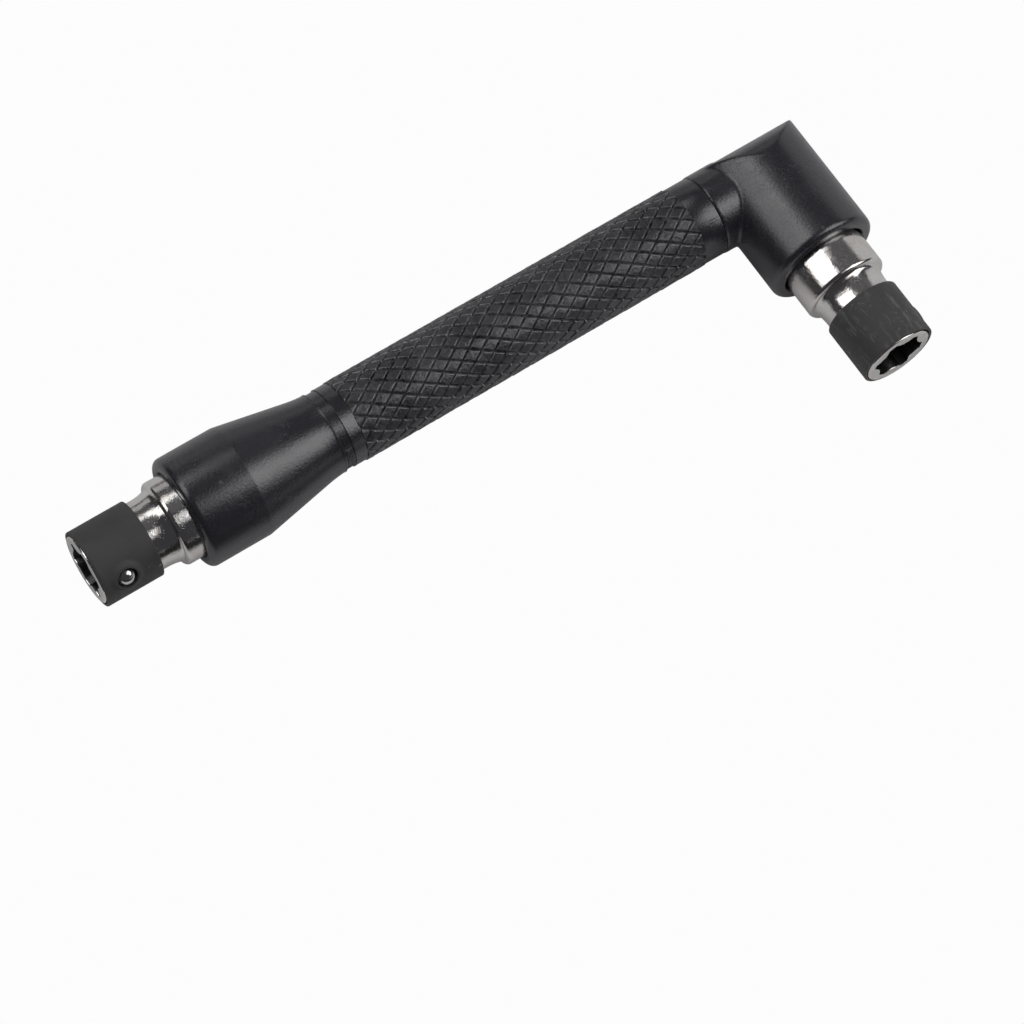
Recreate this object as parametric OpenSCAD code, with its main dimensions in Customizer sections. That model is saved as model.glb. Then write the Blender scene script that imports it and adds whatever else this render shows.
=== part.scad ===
// L-shaped bit driver: a bent handle with a socket for hex bits at each end.
// All lengths are in millimetres. The origin is the centre of the straight socket's
// mouth. +X runs along the long arm to the elbow, the short arm points along -Y,
// and +Z is square to both arms.

/* [Arms] */
// Distance from the straight socket's mouth to the short arm's axis
long_arm = 108.9; // [104:0.1:114]
// Distance from the long arm's axis to the angle socket's mouth
short_arm = 32; // [31:0.1:33]

/* [Socket] */
// Outer diameter of the slim front part of a socket
tube_d = 10; // [9.7:0.05:10.1]
// Length of the slim front part, from the mouth to the flare
tube_len = 9.7; // [9.3:0.1:10.2]
// Diameter of the stout rear part of a socket
shank_d = 12.3; // [11.8:0.1:12.6]
// Length of the hollow flare between the slim and the stout part
flare_len = 2.3; // [1.8:0.1:2.8]
// Radius of the rounded shoulder between the flare and the stout part
shoulder_round = 0.35; // [0.1:0.05:0.5]
// Whole length of a socket
socket_len = 23.5; // [22.8:0.1:24]
// Width of the small chamfers on a socket's outer edges
socket_chamfer = 0.25; // [0.1:0.05:0.4]
// Width of each of the two holding grooves round the shank's tail
hold_groove_w = 0.8; // [0.5:0.1:1]
// Depth of the holding grooves
hold_groove_depth = 0.4; // [0.2:0.05:0.6]

/* [Bit hole] */
// Distance between opposite lands of the bit hole
hole_af = 6.4; // [6.35:0.05:6.5]
// Radius of the round tops of the six lands
land_r = 2.2; // [1.9:0.1:2.6]
// Radius reached by the six notches that clear a bit's corners
notch_r = 3.95; // [3.85:0.05:4.05]
// Depth of the bit hole
bit_depth = 12.5; // [11:0.1:13]
// Depth of the rear hole that takes the core bar
tail_depth = 8.9; // [7.5:0.1:9.5]

/* [Detent ball] */
// Diameter of a detent ball
ball_d = 2.8; // [2.6:0.1:3]
// Distance of a ball's centre from its socket's axis, at rest
ball_rest_r = 4.85; // [4.75:0.05:5]
// Distance of a ball's centre behind its socket's mouth
ball_setback = 3.65; // [3.4:0.05:4]
// Running clearance between a ball and the walls round it
ball_gap = 0.06; // [0.04:0.01:0.1]
// Angle below a ball's equator at which its conical seat begins, in degrees
seat_angle = 20; // [15:1:25]
// Direction of the straight socket's ball, from +Y towards +Z, in degrees
straight_clock = 151; // [120:1:180]
// Direction of the angle socket's ball, from +X towards +Z, in degrees
angle_clock = -8; // [-40:1:40]

/* [Retaining sleeve] */
// Outer diameter of a retaining sleeve
sleeve_d = 11.15; // [10.9:0.05:11.4]
// Inner diameter of a retaining sleeve
sleeve_bore_d = 10.3; // [10.2:0.05:10.5]
// Length of a retaining sleeve
sleeve_len = 8.5; // [8:0.1:8.9]
// Distance by which the sleeve starts behind the socket's mouth
sleeve_setback = 0.2; // [0.1:0.05:0.4]
// Distance by which the ball pulls the sleeve off centre
sleeve_pull = 0.08; // [0:0.01:0.1]
// Radius of the rounded end edges of a sleeve
sleeve_round = 0.15; // [0.05:0.05:0.2]
// Height of the swelling that the ball raises round its window
swell_h = 0.3; // [0.1:0.05:0.4]
// Radius of the foot of the swelling
swell_foot_r = 2.5; // [2.1:0.1:2.8]
// Radius of the top of the swelling
swell_top_r = 1.75; // [1.7:0.05:1.9]

/* [End bell] */
// Distance by which the straight socket stands out of the bell
straight_reach = 14.7; // [14:0.1:15.4]
// Diameter of the bell's wide front
bell_d = 16.2; // [15.4:0.1:17]
// Length of the bell's straight front, from its mouth to the crease
bell_front_len = 9.15; // [8.5:0.05:10]
// Length of the bell's cone
bell_cone_len = 12; // [11:0.1:13]
// Length of the bell's slim rear land
bell_land_len = 1.2; // [1:0.1:2]
// Diameter of the bell's slim rear land
bell_land_d = 11.7; // [11.4:0.1:12]
// Radius of the soft blend between the cone and the rear land
bell_blend_r = 14; // [8:1:18]
// Radius of the rounded edge of each plastic mouth
mouth_round = 1; // [0.5:0.1:1.1]
// Width of the open ring between a socket and the edge of its plastic mouth
mouth_ring_w = 0.45; // [0.3:0.05:0.55]
// Depth of that open ring
mouth_ring_depth = 0.9; // [0.5:0.1:1.5]

/* [Grip] */
// Width of the ring groove in front of the grip
ring_groove_w = 1.4; // [1.1:0.1:1.7]
// Diameter at the bottom of the ring groove
ring_groove_d = 11.35; // [11:0.05:11.5]
// Length of the plain collar between the ring groove and the knurl
front_collar_len = 1.9; // [1.5:0.1:2.4]
// Length of the plain collar between the knurl and the elbow
rear_collar_len = 3.6; // [3:0.1:4.2]
// Diameter of the two plain collars
collar_d = 11.6; // [11.4:0.02:11.7]
// Diameter over the flat tops of the knurl
knurl_d = 11.9; // [11.7:0.1:12.2]
// Depth of the knurl's grooves
knurl_depth = 0.36; // [0.25:0.01:0.45]
// Share of a diamond's length and width that its flat top takes
diamond_top = 0.7; // [0.5:0.05:0.85]
// Number of diamonds round the grip
count_round = 18; // [14:1:22]
// Number of diamonds along the grip
count_along = 18; // [14:1:22]
// Diameter of the spigots that join the handle's three plastic pieces
spigot_d = 9.2; // [8.9:0.1:9.5]
// Length of those spigots
spigot_len = 6.5; // [5:0.1:7.5]

/* [Elbow] */
// Distance from the grip's end to the short arm's axis
elbow_reach = 10.1; // [9.5:0.1:10.6]
// Diameter of the elbow's collar
elbow_collar_d = 11.8; // [11.7:0.1:12.2]
// Distance from the short arm's axis at which the collar begins to run out in the head
collar_runout = 5.5; // [5:0.1:6]
// Length of the collar's conical run-out inside the head
collar_cone_len = 3; // [2.5:0.5:4]
// Diameter at which that run-out ends
collar_end_d = 10; // [9:0.5:10.5]
// Diameter of the elbow's head
head_d = 16.4; // [15.8:0.1:17]
// Distance from the long arm's axis to the head's mouth
head_drop = 14.6; // [14:0.1:15.5]
// Distance from the long arm's axis to the crest of the head's far end
arch_reach = 5.35; // [5.1:0.05:5.8]
// Height of the arch that rounds the head's far end
arch_h = 6.1; // [5.6:0.1:6.6]
// Radius of the arch's two flanks
arch_flank_r = 4.9; // [4.5:0.1:5.3]
// Distance by which each flank of the arch stands outside the head's round side
arch_margin = 0.05; // [0.02:0.01:0.1]

/* [Core bar] */
// Distance across the flats of the core bar
bar_af = 6.35; // [6:0.05:6.35]
// Clearance between pieces that are fitted into one another
fit = 0.05; // [0.03:0.01:0.08]
// Straight run of the bar between its bend and the angle socket
bend_run = 0.4; // [0.2:0.1:0.6]

/* [Hidden] */
$fn = 96;

// A cut runs this far past the face it opens
past = 1;
// Number of steps in each computed arc
arc_steps = 6;

// Stations along the long arm
bell_len = bell_front_len + bell_cone_len + bell_land_len;
grip_start = straight_reach + bell_len;
front_collar_start = grip_start + ring_groove_w;
knurl_start = front_collar_start + front_collar_len;
elbow_start = long_arm - elbow_reach;
rear_collar_start = elbow_start - rear_collar_len;
knurl_len = rear_collar_start - knurl_start;

// Stations along the short arm
angle_reach = short_arm - head_drop;
tail_to_axis = short_arm - socket_len;
bend_r = tail_to_axis - bend_run;

ball_r = ball_d / 2;
window_r = ball_r + ball_gap;

// The conical seat opens out from seat_in_r, at the notches, to the full window at
// distance seat_out_r from the axis
seat_out_r = ball_rest_r - ball_r * sin(seat_angle);
seat_in_r = sqrt(pow(ball_r, 2) - pow(ball_rest_r - notch_r, 2)) + ball_gap;

// Corner radius of a hexagon from the distance across its flats
function hex_r(af) = af / sqrt(3);

// Points of an arc, from angle a0 to angle a1
function arc_points(x, y, r, a0, a1, steps) =
    [for (i = [0:steps]) let (a = a0 + (a1 - a0) * i / steps) [x + r * cos(a), y + r * sin(a)]];

// Stand a piece on the straight socket's mouth: its own +Z becomes +X and its own +X
// points to the ball
module at_straight_mouth() {
    rotate([0, 90, 0])
        rotate(90 + straight_clock)
            children();
}

// Stand a piece on the angle socket's mouth: its own +Z becomes +Y and its own +X
// points to the ball
module at_angle_mouth() {
    translate([long_arm, -short_arm, 0])
        rotate([-90, 0, 0])
            rotate(-angle_clock)
                children();
}

// Lay a piece that stands on its own Z axis along the long arm, from distance x
module along_long_arm(x) {
    translate([x, 0, 0])
        rotate([0, 90, 0])
            children();
}

// Aim a piece that stands on its own Z axis along the ball's line, out from the axis
module along_ball_line() {
    translate([0, 0, ball_setback])
        rotate([0, 90, 0])
            children();
}

// Outline of the bit hole: six round-topped lands with a notch at each corner
module bit_hole_outline() {
    difference() {
        circle(r = notch_r);
        for (k = [0:5])
            rotate(30 + 60 * k)
                translate([hole_af / 2 + land_r, 0])
                    circle(r = land_r);
    }
}

// Half section of a socket: slim tube, hollow flare, rounded shoulder, stout shank
module socket_section() {
    tube_r = tube_d / 2;
    shank_r = shank_d / 2;
    rim_r = shank_r - shoulder_round;
    rise = rim_r - tube_r;
    flare_end = tube_len + flare_len;
    c = socket_chamfer;
    polygon(concat(
        [[0, 0], [tube_r - c, 0], [tube_r, c], [tube_r, tube_len]],
        [for (i = [1:arc_steps])
            let (a = 90 * i / arc_steps)
            [tube_r + rise * (1 - cos(a)), tube_len + flare_len * sin(a)]],
        arc_points(rim_r, flare_end + shoulder_round, shoulder_round, -90, 0, 3),
        [[shank_r, socket_len - c],
         [shank_r - c, socket_len], [0, socket_len]]
    ));
}

// Ring grooves that hold the shank in the plastic
module holding_grooves() {
    for (k = [1:2])
        translate([shank_d / 2 - hold_groove_depth, socket_len - 2 * k * hold_groove_w])
            square([hold_groove_depth + past, hold_groove_w]);
}

// Window for the ball, with a conical seat at its inner end that keeps the ball in
module ball_window() {
    along_ball_line() {
        translate([0, 0, notch_r - past])
            cylinder(r = seat_in_r, h = past);
        translate([0, 0, notch_r])
            cylinder(r1 = seat_in_r, r2 = window_r, h = seat_out_r - notch_r);
        translate([0, 0, seat_out_r])
            cylinder(r = window_r, h = tube_d);
    }
}

// One bit socket, standing on its mouth, with its ball towards +X. bar_turn is the
// direction of a corner of the rear hole.
module socket(bar_turn) {
    difference() {
        rotate_extrude()
            difference() {
                socket_section();
                holding_grooves();
            }
        translate([0, 0, -past])
            linear_extrude(bit_depth + past)
                bit_hole_outline();
        translate([0, 0, socket_len - tail_depth])
            linear_extrude(tail_depth + past)
                rotate(bar_turn)
                    circle(r = hex_r(bar_af + 2 * fit), $fn = 6);
        ball_window();
    }
}

// One elastic sleeve, standing on the socket's mouth, with a window for the ball
module sleeve() {
    r = sleeve_round;
    translate([sleeve_pull, 0, sleeve_setback])
        difference() {
            union() {
                rotate_extrude()
                    union() {
                        translate([0, r])
                            square([sleeve_d / 2, sleeve_len - 2 * r]);
                        square([sleeve_d / 2 - r, sleeve_len]);
                        for (y = [r, sleeve_len - r])
                            translate([sleeve_d / 2 - r, y])
                                circle(r = r);
                    }
                translate([0, 0, ball_setback - sleeve_setback])
                    rotate([0, 90, 0])
                        translate([0, 0, sleeve_d / 2 - swell_h])
                            cylinder(r1 = swell_foot_r, r2 = swell_top_r, h = 2 * swell_h);
            }
            translate([0, 0, -past])
                cylinder(d = sleeve_bore_d, h = sleeve_len + 2 * past);
            translate([0, 0, ball_setback - sleeve_setback])
                rotate([0, 90, 0])
                    cylinder(r = window_r, h = sleeve_d);
        }
}

// One detent ball at rest
module ball() {
    along_ball_line()
        translate([0, 0, ball_rest_r])
            sphere(r = ball_r);
}

// Opening of a plastic mouth: the bore that holds a socket and the wider open ring
// in front, standing on the mouth. depth is how far the socket goes in.
module mouth_cut(depth) {
    translate([0, 0, -past])
        cylinder(d = shank_d + 2 * fit, h = depth + fit + past);
    translate([0, 0, -past])
        cylinder(d = shank_d + 2 * mouth_ring_w, h = mouth_ring_depth + past);
}

// Round bar of diameter d and length len that stands on a mouth with a rounded edge
module round_mouthed(d, len) {
    rotate_extrude()
        union() {
            translate([0, mouth_round])
                square([d / 2, len - mouth_round]);
            square([d / 2 - mouth_round, len]);
            translate([d / 2 - mouth_round, mouth_round])
                circle(r = mouth_round);
        }
}

// The bent hexagonal bar, with two flats square to Z. grow widens it all round, and
// reach_a and reach_b are the ends of its legs in the straight and the angle arm.
module bent_bar(af, reach_a, reach_b) {
    bend_x = long_arm - bend_r;
    along_long_arm(reach_a)
        linear_extrude(bend_x - reach_a)
            rotate(90)
                circle(r = hex_r(af), $fn = 6);
    translate([bend_x, -bend_r, 0])
        rotate_extrude(angle = 90)
            translate([bend_r, 0])
                circle(r = hex_r(af), $fn = 6);
    translate([long_arm, -bend_r, 0])
        rotate([90, 0, 0])
            linear_extrude(reach_b - bend_r)
                circle(r = hex_r(af), $fn = 6);
}

module core_bar() {
    color("#8d8f92")
        bent_bar(bar_af, socket_len - tail_depth + fit, tail_to_axis + tail_depth - fit);
}

module straight_socket() {
    color("#d6d7d9")
        at_straight_mouth()
            socket(-straight_clock);
}

module angle_socket() {
    color("#d6d7d9")
        at_angle_mouth()
            socket(angle_clock);
}

module straight_sleeve() {
    color("#3b3a3d")
        at_straight_mouth()
            sleeve();
}

module angle_sleeve() {
    color("#3b3a3d")
        at_angle_mouth()
            sleeve();
}

module straight_ball() {
    color("#e4e4e6")
        at_straight_mouth()
            ball();
}

module angle_ball() {
    color("#e4e4e6")
        at_angle_mouth()
            ball();
}

// Soft outline between the bell's cone and its rear land, by an arc tangent to both
function bell_blend() =
    let (
        slope = atan2((bell_d - bell_land_d) / 2, bell_cone_len),
        lead = bell_blend_r * tan(slope / 2),
        corner = bell_front_len + bell_cone_len,
        land_r = bell_land_d / 2
    )
    arc_points(land_r + bell_blend_r, corner + lead, bell_blend_r,
               180 + slope, 180, arc_steps);

// Half section of the bell behind its rounded mouth
module bell_section() {
    polygon(concat(
        [[0, mouth_round], [bell_d / 2, mouth_round], [bell_d / 2, bell_front_len]],
        bell_blend(),
        [[bell_land_d / 2, bell_len], [0, bell_len]]
    ));
}

module end_bell() {
    color("#242427")
        difference() {
            along_long_arm(straight_reach)
                difference() {
                    union() {
                        round_mouthed(bell_d, bell_front_len);
                        rotate_extrude()
                            bell_section();
                    }
                    mouth_cut(socket_len - straight_reach);
                    translate([0, 0, bell_len - spigot_len - fit])
                        cylinder(d = spigot_d + 2 * fit, h = spigot_len + fit + past);
                }
            along_long_arm(straight_reach)
                linear_extrude(bell_len)
                    rotate(90)
                        circle(r = hex_r(bar_af + 2 * fit), $fn = 6);
        }
}

// The knurl is a lattice of flat-topped diamonds between V grooves. Its rows are half a
// diamond apart, and every second row is turned by half a diamond.
row_count = 2 * count_along;
diamond_len = knurl_len / count_along;
turn = 360 / count_round;
top_r = knurl_d / 2;
groove_r = top_r - knurl_depth;

function on_grip(x, r, a) = [x, r * cos(a), r * sin(a)];
function row_x(row) = knurl_start + row * diamond_len / 2;
function diamond_angle(row, col) = (col + (row % 2) / 2) * turn;

// Groove crossing beside diamond (row, col), half a diamond further round
function crossing(row, col) =
    on_grip(row_x(row), groove_r, diamond_angle(row, col) + turn / 2);

// Corners of one flat top: front, low side, back and high side
function top_corners(row, col) =
    let (
        x = row_x(row),
        a = diamond_angle(row, col),
        dx = diamond_top * diamond_len / 2,
        da = diamond_top * turn / 2
    )
    [
        on_grip(max(x - dx, knurl_start), top_r, a),
        on_grip(x, top_r, a - da),
        on_grip(min(x + dx, knurl_start + knurl_len), top_r, a),
        on_grip(x, top_r, a + da)
    ];

crossings = [for (row = [0:row_count]) for (col = [0:count_round - 1]) crossing(row, col)];
tops = [for (row = [0:row_count]) for (col = [0:count_round - 1])
    each top_corners(row, col)];

// Numbers of the points in the joined list: crossings first, then the tops' corners
function wrap(col) = (col + count_round) % count_round;
function crossing_id(row, col) = row * count_round + wrap(col);
function top_id(row, col, corner) =
    len(crossings) + 4 * (row * count_round + wrap(col)) + corner;

// The crossings in front of and behind a diamond lie in the next rows
function front_id(row, col) = crossing_id(row - 1, col - 1 + row % 2);
function back_id(row, col) = crossing_id(row + 1, col - 1 + row % 2);

// Faces of the front half and the back half of a diamond's sloping sides
function front_sides(row, col) = [
    [front_id(row, col), crossing_id(row, col - 1), top_id(row, col, 1), top_id(row, col, 0)],
    [crossing_id(row, col), front_id(row, col), top_id(row, col, 0), top_id(row, col, 3)]
];
function back_sides(row, col) = [
    [crossing_id(row, col - 1), back_id(row, col), top_id(row, col, 2), top_id(row, col, 1)],
    [back_id(row, col), crossing_id(row, col), top_id(row, col, 3), top_id(row, col, 2)]
];

// A diamond in the first or last row is cut in half by the end of the knurl
function diamond_faces(row, col) =
    row == 0
        ? concat([[for (c = [1, 2, 3]) top_id(row, col, c)]], back_sides(row, col))
    : row == row_count
        ? concat([[for (c = [0, 1, 3]) top_id(row, col, c)]], front_sides(row, col))
        : concat([[for (c = [0:3]) top_id(row, col, c)]],
                 front_sides(row, col), back_sides(row, col));

// The flat ends are fans of triangles round a centre point, three for each diamond
centres = [for (row = [0, row_count]) on_grip(row_x(row), 0, 0)];
front_centre_id = len(crossings) + len(tops);
back_centre_id = front_centre_id + 1;

function end_fan(row, col, centre_id) = [
    [centre_id, crossing_id(row, col - 1), top_id(row, col, 1)],
    [centre_id, top_id(row, col, 1), top_id(row, col, 3)],
    [centre_id, top_id(row, col, 3), crossing_id(row, col)]
];
function reversed(list) = [for (i = [len(list) - 1:-1:0]) list[i]];

module knurl() {
    polyhedron(
        points = concat(crossings, tops, centres),
        faces = [
            for (col = [0:count_round - 1])
                each end_fan(0, col, front_centre_id),
            for (col = [0:count_round - 1]) for (face = end_fan(row_count, col, back_centre_id))
                reversed(face),
            for (row = [0:row_count]) for (col = [0:count_round - 1])
                each diamond_faces(row, col)
        ]
    );
}

module grip() {
    color("#2a2a2d")
        difference() {
            union() {
                knurl();
                along_long_arm(grip_start - spigot_len)
                    cylinder(d = spigot_d, h = spigot_len + past);
                along_long_arm(grip_start)
                    cylinder(d = ring_groove_d, h = ring_groove_w);
                along_long_arm(front_collar_start)
                    cylinder(d = collar_d, h = front_collar_len);
                along_long_arm(rear_collar_start)
                    cylinder(d = collar_d, h = rear_collar_len);
            }
            along_long_arm(grip_start - spigot_len - past)
                linear_extrude(elbow_start - grip_start + spigot_len + 2 * past)
                    rotate(90)
                        circle(r = hex_r(bar_af + 2 * fit), $fn = 6);
            along_long_arm(elbow_start - spigot_len - fit)
                cylinder(d = spigot_d + 2 * fit, h = spigot_len + fit + past);
        }
}

// Outline of the head's far end, a three-centred arch: a wide crest arc between two
// narrower flanks that it touches smoothly. +Y of the outline is the reach.
module arch_outline() {
    half_w = head_d / 2 + arch_margin;
    foot = arch_reach - arch_h;
    flank_x = half_w - arch_flank_r;
    crest_r = (pow(flank_x, 2) + pow(arch_h, 2) - pow(arch_flank_r, 2))
        / (2 * (arch_h - arch_flank_r));
    crest_y = arch_reach - crest_r;
    spread = 3;
    for (side = [-1, 1])
        translate([side * flank_x, foot])
            circle(r = arch_flank_r);
    intersection() {
        translate([0, crest_y])
            circle(r = crest_r);
        polygon([[0, crest_y],
                 [spread * flank_x, crest_y + spread * (foot - crest_y)],
                 [-spread * flank_x, crest_y + spread * (foot - crest_y)]]);
    }
    translate([-half_w, -head_drop - past])
        square([2 * half_w, foot + head_drop + past]);
}

// The head: a round bar along the short arm, whose far end the arch rounds off, so that
// the two curves meet in creases
module head() {
    intersection() {
        translate([long_arm, -head_drop, 0])
            rotate([-90, 0, 0])
                round_mouthed(head_d, head_drop + arch_reach + past);
        along_long_arm(long_arm - head_d)
            linear_extrude(2 * head_d)
                arch_outline();
    }
}

// The collar that joins the grip: its end runs out in the head as a cone
module elbow_collar() {
    straight_len = elbow_reach - collar_runout;
    along_long_arm(elbow_start)
        cylinder(d = elbow_collar_d, h = straight_len);
    along_long_arm(elbow_start + straight_len)
        cylinder(d1 = elbow_collar_d, d2 = collar_end_d, h = collar_cone_len);
}

module elbow_head() {
    color("#242427")
        difference() {
            union() {
                head();
                elbow_collar();
                along_long_arm(elbow_start - spigot_len)
                    cylinder(d = spigot_d, h = spigot_len + past);
            }
            bent_bar(bar_af + 2 * fit, elbow_start - spigot_len - past, head_drop);
            translate([long_arm, -head_drop, 0])
                rotate([-90, 0, 0])
                    mouth_cut(socket_len - angle_reach);
        }
}

core_bar();
straight_socket();
angle_socket();
straight_sleeve();
angle_sleeve();
straight_ball();
angle_ball();
end_bell();
grip();
elbow_head();
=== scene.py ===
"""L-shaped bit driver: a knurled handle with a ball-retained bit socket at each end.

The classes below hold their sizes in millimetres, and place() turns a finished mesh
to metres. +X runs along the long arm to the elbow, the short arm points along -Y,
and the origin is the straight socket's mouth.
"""
import logging
import math
from dataclasses import dataclass
from enum import Enum
from typing import Any, Iterable, Optional, Sequence

import bmesh
import bpy
from bmesh.types import BMEdge, BMesh, BMVert
from mathutils import Matrix, Quaternion, Vector, noise


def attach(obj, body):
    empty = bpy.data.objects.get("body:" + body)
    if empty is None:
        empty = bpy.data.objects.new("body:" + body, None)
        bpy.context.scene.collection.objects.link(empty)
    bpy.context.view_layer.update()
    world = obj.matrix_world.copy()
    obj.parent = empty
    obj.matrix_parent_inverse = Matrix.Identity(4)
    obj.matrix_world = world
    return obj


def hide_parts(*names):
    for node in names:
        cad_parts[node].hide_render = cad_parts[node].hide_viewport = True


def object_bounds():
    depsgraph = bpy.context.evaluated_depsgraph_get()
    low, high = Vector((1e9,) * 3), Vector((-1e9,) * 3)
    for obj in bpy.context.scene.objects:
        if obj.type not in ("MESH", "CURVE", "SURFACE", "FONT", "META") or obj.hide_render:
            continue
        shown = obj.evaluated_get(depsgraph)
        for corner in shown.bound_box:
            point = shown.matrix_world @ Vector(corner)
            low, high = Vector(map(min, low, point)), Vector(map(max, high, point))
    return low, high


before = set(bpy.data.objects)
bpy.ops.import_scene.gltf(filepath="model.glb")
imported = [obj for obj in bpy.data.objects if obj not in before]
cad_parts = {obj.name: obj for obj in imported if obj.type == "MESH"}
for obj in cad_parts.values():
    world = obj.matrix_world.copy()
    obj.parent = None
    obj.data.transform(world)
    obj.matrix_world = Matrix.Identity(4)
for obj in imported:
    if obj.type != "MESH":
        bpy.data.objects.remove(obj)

LOG = logging.getLogger("bit_driver")
CAD_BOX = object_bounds()

Colour = tuple[float, float, float]
Span = tuple[float, float]
Material = bpy.types.Material
Node = bpy.types.Node
Wire = bpy.types.NodeSocket
Piece = bpy.types.Object

MM = 0.001
HANDLE = "handle"
CENTRE = (0.0, 0.0, 0.0)
Z_AXIS = (0.0, 0.0, 1.0)
WELD_MM = 1e-4
KNIT_MM = 1e-3
CUT_MM = 1e-5


# ---------------------------------------------------------------- mesh helpers


def rotation(degrees: float, axis: str) -> Matrix:
    """Rotation round one of the main axes."""
    return Matrix.Rotation(math.radians(degrees), 4, axis)


ALONG_ARM = rotation(90.0, "Y")


def verts_of(geom: Iterable[Any]) -> list[BMVert]:
    """The vertices among the items that an operator gives back."""
    return [item for item in geom if isinstance(item, BMVert)]


def open_edges(bm: BMesh) -> list[BMEdge]:
    """The edges round a mesh's openings."""
    return [edge for edge in bm.edges if edge.is_boundary]


def everything(bm: BMesh) -> list[Any]:
    """All vertices, edges and faces of a mesh."""
    return bm.verts[:] + bm.edges[:] + bm.faces[:]


def outwards(vert: BMVert) -> Vector:
    """Direction from the Z axis to a vertex."""
    return Vector((vert.co.x, vert.co.y, 0.0)).normalized()


def transformed(bm: BMesh, matrix: Matrix) -> BMesh:
    """Move a whole mesh by a matrix and return it."""
    bmesh.ops.transform(bm, matrix=matrix, verts=bm.verts)
    return bm


def rounded(
    bm: BMesh, geom: Sequence[Any], size: float, steps: int, affect: str = "EDGES"
) -> None:
    """Round edges or vertices.

    Args:
        bm: The mesh.
        geom: Its edges or vertices that are rounded.
        size: Length that the rounding takes from each side.
        steps: Number of faces in the rounding.
        affect: EDGES or VERTICES.
    """
    bmesh.ops.bevel(
        bm,
        geom=geom,
        offset=size,
        offset_type="OFFSET",
        segments=steps,
        profile=0.5,
        affect=affect,
        material=-1,
    )


@dataclass(frozen=True)
class Corner:
    """One corner of a turned outline.

    Attributes:
        z: Station along the axis.
        r: Radius.
        ease: Length that a rounding takes from each side of the corner.
        steps: Number of faces in that rounding.
    """

    z: float
    r: float
    ease: float = 0.0
    steps: int = 3


def turned(
    outline: Sequence[Corner], around: int, closed: bool = False, row: float = 0.0
) -> BMesh:
    """Turn an outline round the Z axis.

    Args:
        outline: Corners in order. A rounding is made where a corner asks for it.
        around: Number of faces round the axis.
        closed: Whether the last corner joins the first, as in a tube's wall.
        row: Longest step along the axis, or 0 to leave long faces whole.

    Returns:
        The turned mesh, in millimetres.
    """
    bm = bmesh.new()
    points = [bm.verts.new((corner.r, 0.0, corner.z)) for corner in outline]
    for first, second in zip(points, points[1:]):
        bm.edges.new((first, second))
    if closed:
        bm.edges.new((points[-1], points[0]))
    for corner, point in zip(outline, points):
        if corner.ease > 0.0:
            rounded(bm, [point], corner.ease, corner.steps, "VERTICES")
    if row > 0.0:
        for edge in bm.edges[:]:
            cuts = int(edge.calc_length() / row)
            if cuts:
                bmesh.ops.subdivide_edges(bm, edges=[edge], cuts=cuts)
    bmesh.ops.spin(
        bm,
        geom=bm.verts[:] + bm.edges[:],
        cent=CENTRE,
        axis=Z_AXIS,
        angle=math.tau,
        steps=around,
        use_merge=True,
    )
    bmesh.ops.remove_doubles(bm, verts=bm.verts, dist=WELD_MM)
    bmesh.ops.recalc_face_normals(bm, faces=bm.faces)
    return bm


def temporary(bm: BMesh, name: str) -> Piece:
    """Put a mesh into a scene object.

    Args:
        bm: The mesh. It is freed.
        name: The object's name.

    Returns:
        The object, whose modifiers applied() can apply.
    """
    mesh = bpy.data.meshes.new(name)
    bm.to_mesh(mesh)
    bm.free()
    piece = bpy.data.objects.new(name, mesh)
    bpy.context.scene.collection.objects.link(piece)
    return piece


def applied(piece: Piece, helpers: Iterable[Piece] = ()) -> BMesh:
    """Apply a temporary object's modifiers.

    Args:
        piece: The object. It is deleted.
        helpers: Objects that its modifiers read. They are deleted too.

    Returns:
        The resulting mesh.
    """
    depsgraph = bpy.context.evaluated_depsgraph_get()
    bm = bmesh.new()
    bm.from_object(piece, depsgraph)
    for used in [piece, *helpers]:
        mesh = used.data
        bpy.data.objects.remove(used)
        bpy.data.meshes.remove(mesh)
    return bm


def combined(body: BMesh, tool: BMesh, operation: str) -> BMesh:
    """Join, cut or intersect two closed meshes exactly.

    Args:
        body: The mesh that is kept.
        tool: The mesh that works on it. Both are freed.
        operation: UNION, DIFFERENCE or INTERSECT.

    Returns:
        The resulting mesh.
    """
    piece, cutter = temporary(body, "body"), temporary(tool, "tool")
    boolean = piece.modifiers.new("combine", "BOOLEAN")
    boolean.object = cutter
    boolean.operation = operation
    boolean.solver = "EXACT"
    return applied(piece, [cutter])


def place(
    name: str,
    bm: BMesh,
    matrix: Matrix,
    material: Material,
    replaced: Sequence[str] = (),
    body: str = HANDLE,
    sharp: float = 32.0,
) -> Piece:
    """Turn a mesh in millimetres into a finished piece of the model.

    Args:
        name: Name of the piece.
        bm: Its mesh. It is freed.
        matrix: Where it goes, in millimetres.
        material: Its finish.
        replaced: CAD nodes that it stands for.
        body: CAD body that it rides on.
        sharp: Edges that turn by more than this many degrees stay crisp.

    Returns:
        The finished object.
    """
    transformed(bm, Matrix.Scale(MM, 4) @ matrix)
    bmesh.ops.recalc_face_normals(bm, faces=bm.faces)
    for face in bm.faces:
        face.smooth = True
    for edge in bm.edges:
        edge.smooth = edge.calc_face_angle(0.0) < math.radians(sharp)
    piece = temporary(bm, name)
    piece.data.materials.append(material)
    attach(piece, body)
    if replaced:
        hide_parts(*replaced)
    LOG.info("%s: %d faces", name, len(piece.data.polygons))
    return piece


# ------------------------------------------------------------------- materials


# Ends of the ranges that NodeSheet.stretch maps.
WHOLE: Span = (0.0, 1.0)
FALLING: Span = (1.0, 0.0)
NOISE_SPAN: Span = (0.3, 0.7)


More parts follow.
